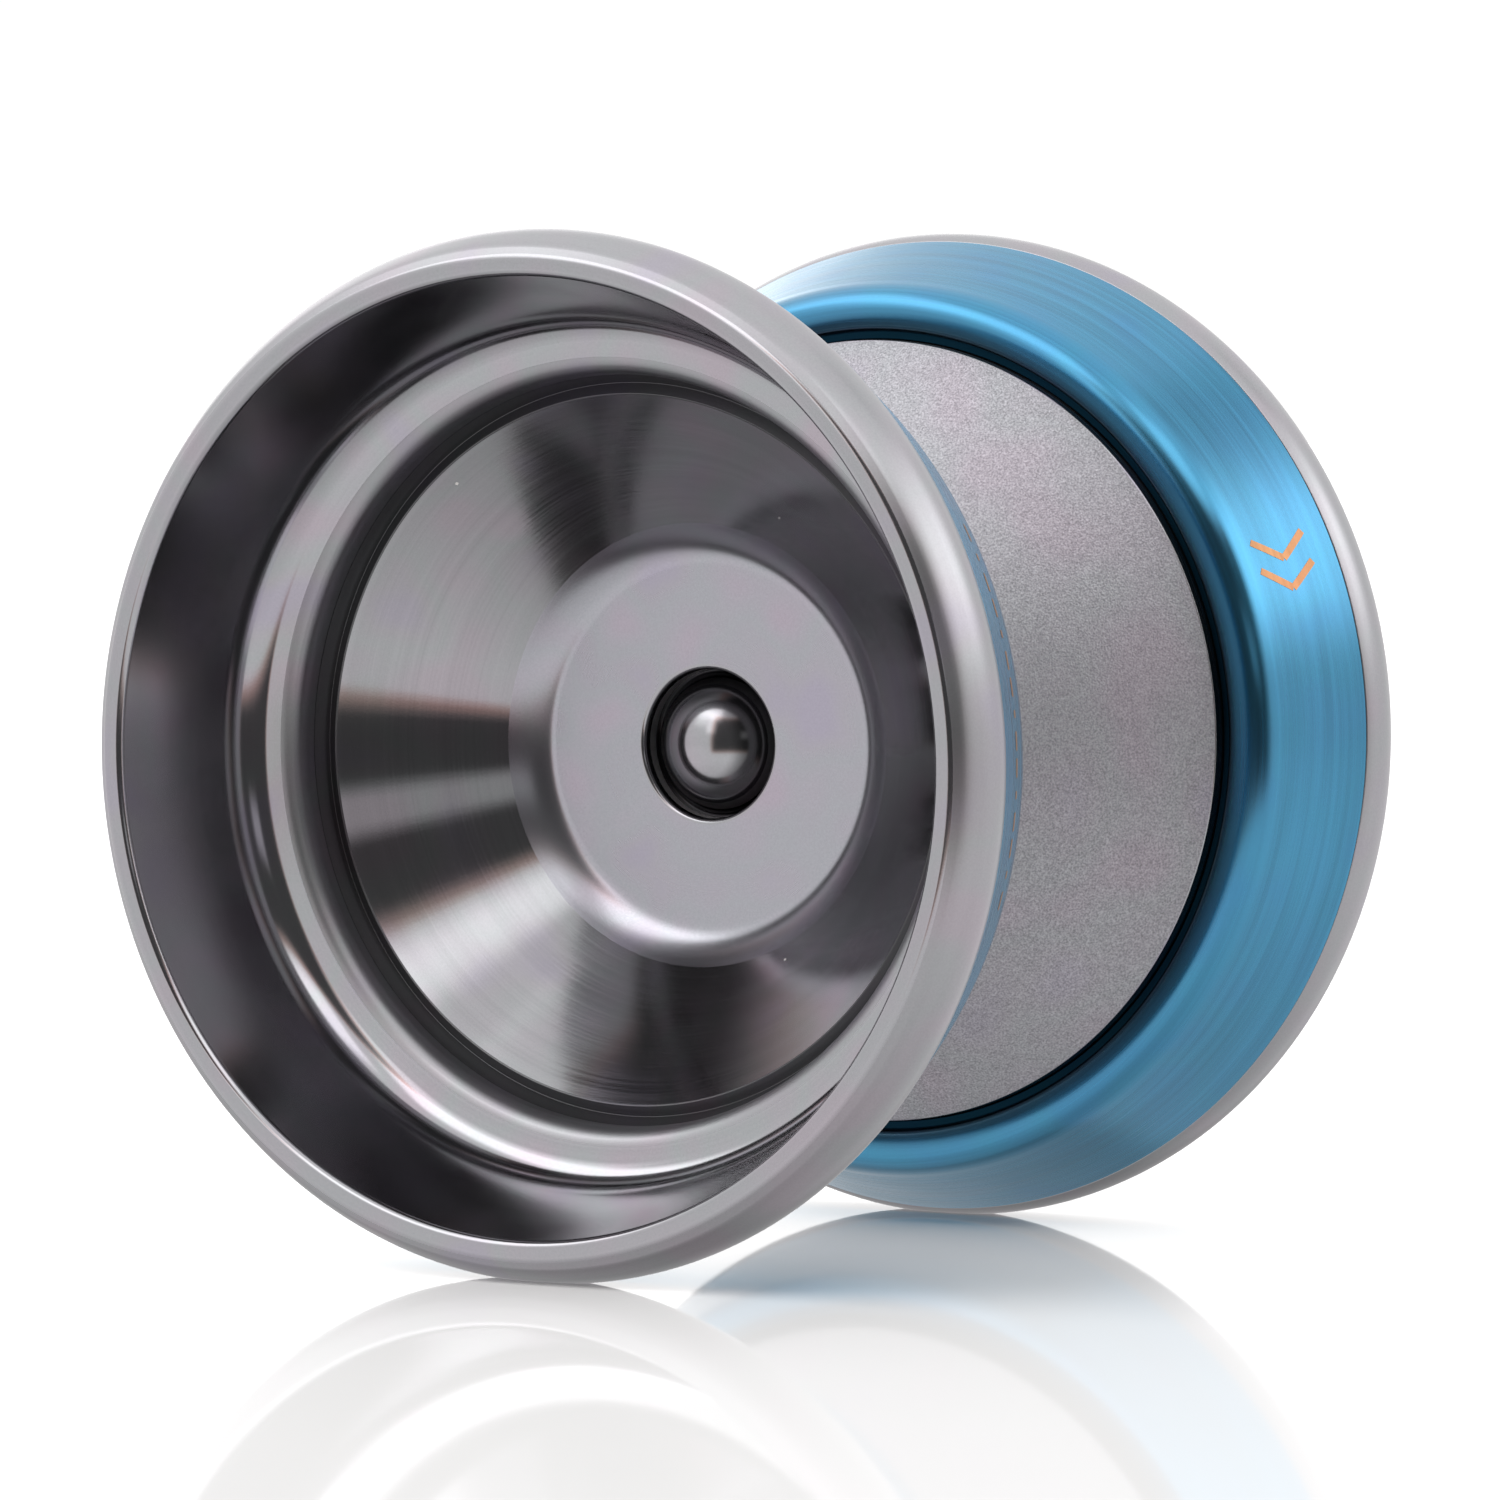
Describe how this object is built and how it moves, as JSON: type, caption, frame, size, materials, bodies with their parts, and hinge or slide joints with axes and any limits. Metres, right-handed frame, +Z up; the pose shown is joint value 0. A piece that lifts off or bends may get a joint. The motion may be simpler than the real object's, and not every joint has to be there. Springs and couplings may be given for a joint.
{
  "type": "yo-yo",
  "caption": "Bimetal yo-yo: turned aluminium halves with pressed-on steel weight rings, screwed together on a threaded axle around a shielded ball bearing between silicone response pads.",
  "frame": {"origin": "on the axle's centre line, in the middle of the string gap", "axes": "+Y along the axle from the left half to the right half, +Z up, the rims resting below at -Z"},
  "size_m": [0.056, 0.0486, 0.056],
  "materials": {
    "anodised_aluminium": "grey anodised; turned satin in the cup, bead-blasted on the string wall",
    "blue_steel": "blue-coloured stainless steel, brushed round the axle",
    "silicone": "matte off-white silicone",
    "axle_steel": "rolled thread, plain steel",
    "bearing_steel": "ground bearing steel",
    "shield_steel": "pressed sheet",
    "nylon": "natural moulded nylon"
  },
  "bodies": {
    "left_half": {"left_body": "anodised_aluminium", "left_weight_ring": "blue_steel", "left_response_pad": "silicone", "bearing_inner_race": "bearing_steel"},
    "axle": {"axle": "axle_steel"},
    "right_half": {"right_body": "anodised_aluminium", "right_weight_ring": "blue_steel", "right_response_pad": "silicone"},
    "outer_race": {"bearing_outer_race": "bearing_steel", "left_shield": "shield_steel", "right_shield": "shield_steel", "left_snap_ring": "shield_steel", "right_snap_ring": "shield_steel"},
    "cage": {"bearing_cage": "nylon"},
    "ball_1": {"bearing_ball_1": "bearing_steel"},
    "ball_2": {"bearing_ball_2": "bearing_steel"},
    "ball_3": {"bearing_ball_3": "bearing_steel"},
    "ball_4": {"bearing_ball_4": "bearing_steel"},
    "ball_5": {"bearing_ball_5": "bearing_steel"},
    "ball_6": {"bearing_ball_6": "bearing_steel"},
    "ball_7": {"bearing_ball_7": "bearing_steel"},
    "ball_8": {"bearing_ball_8": "bearing_steel"}
  },
  "joints": [
    {"name": "unscrew", "type": "hinge", "parent": "left_half", "child": "axle", "pos_m": [0, 0, 0], "axis": [0, 1, 0], "range_deg": [0, 1332]},
    {"name": "draw_apart", "type": "slide", "parent": "axle", "child": "right_half", "axis": [0, 1, 0], "range_m": [0, 0.0026]},
    {"name": "bearing_spin", "type": "hinge", "parent": "left_half", "child": "outer_race", "pos_m": [0, 0, 0], "axis": [0, 1, 0], "continuous": true},
    {"name": "cage_spin", "type": "hinge", "parent": "left_half", "child": "cage", "pos_m": [0, 0, 0], "axis": [0, 1, 0], "continuous": true},
    {"name": "ball_1_roll", "type": "hinge", "parent": "cage", "child": "ball_1", "pos_m": [0, 0, 0.00476], "axis": [0, 1, 0], "continuous": true},
    {"name": "ball_2_roll", "type": "hinge", "parent": "cage", "child": "ball_2", "pos_m": [0.00337, 0, 0.00337], "axis": [0, 1, 0], "continuous": true},
    {"name": "ball_3_roll", "type": "hinge", "parent": "cage", "child": "ball_3", "pos_m": [0.00476, 0, 0], "axis": [0, 1, 0], "continuous": true},
    {"name": "ball_4_roll", "type": "hinge", "parent": "cage", "child": "ball_4", "pos_m": [0.00337, 0, -0.00337], "axis": [0, 1, 0], "continuous": true},
    {"name": "ball_5_roll", "type": "hinge", "parent": "cage", "child": "ball_5", "pos_m": [0, 0, -0.00476], "axis": [0, 1, 0], "continuous": true},
    {"name": "ball_6_roll", "type": "hinge", "parent": "cage", "child": "ball_6", "pos_m": [-0.00337, 0, -0.00337], "axis": [0, 1, 0], "continuous": true},
    {"name": "ball_7_roll", "type": "hinge", "parent": "cage", "child": "ball_7", "pos_m": [-0.00476, 0, 0], "axis": [0, 1, 0], "continuous": true},
    {"name": "ball_8_roll", "type": "hinge", "parent": "cage", "child": "ball_8", "pos_m": [-0.00337, 0, 0.00337], "axis": [0, 1, 0], "continuous": true}
  ],
  "couplings": [
    {"joint": "draw_apart", "follows": "unscrew", "m_per_rad": 0.00011141},
    {"joint": "cage_spin", "follows": "bearing_spin", "ratio": 0.58336},
    {"joint": "ball_1_roll", "follows": "bearing_spin", "ratio": 2.9157},
    {"joint": "ball_2_roll", "follows": "bearing_spin", "ratio": 2.9157},
    {"joint": "ball_3_roll", "follows": "bearing_spin", "ratio": 2.9157},
    {"joint": "ball_4_roll", "follows": "bearing_spin", "ratio": 2.9157},
    {"joint": "ball_5_roll", "follows": "bearing_spin", "ratio": 2.9157},
    {"joint": "ball_6_roll", "follows": "bearing_spin", "ratio": 2.9157},
    {"joint": "ball_7_roll", "follows": "bearing_spin", "ratio": 2.9157},
    {"joint": "ball_8_roll", "follows": "bearing_spin", "ratio": 2.9157}
  ]
}
